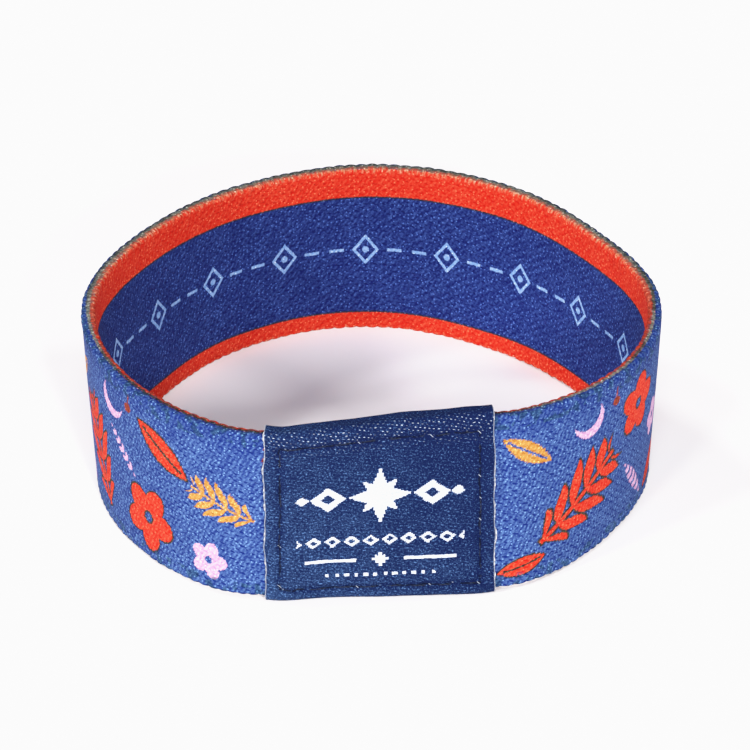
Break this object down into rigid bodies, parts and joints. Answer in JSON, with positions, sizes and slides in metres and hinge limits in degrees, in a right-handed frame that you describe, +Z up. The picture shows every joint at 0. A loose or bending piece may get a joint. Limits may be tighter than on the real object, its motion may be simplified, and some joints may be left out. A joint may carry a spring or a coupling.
{
  "type": "fabric wristband",
  "caption": "Closed loop of printed elastic, worn round the wrist, with a woven label wrapped and sewn over its seam.",
  "frame": {"origin": "middle of the loop's foot, on the surface that it lies on", "axes": "+Z up, along the way the wrist goes through; -Y towards the middle of the label; +X to the right of someone who looks at the label"},
  "size_m": [0.058, 0.0572, 0.02],
  "materials": {
    "printed_elastic": "matt woven polyester elastic, blue with a printed pattern outside, blue with an orange-red stripe along each edge inside",
    "label_cloth": "navy twill-woven label with a pale woven ornament and navy stitching"
  },
  "bodies": {
    "root": {"elastic_band": "printed_elastic", "woven_label": "label_cloth"}
  },
  "joints": []
}
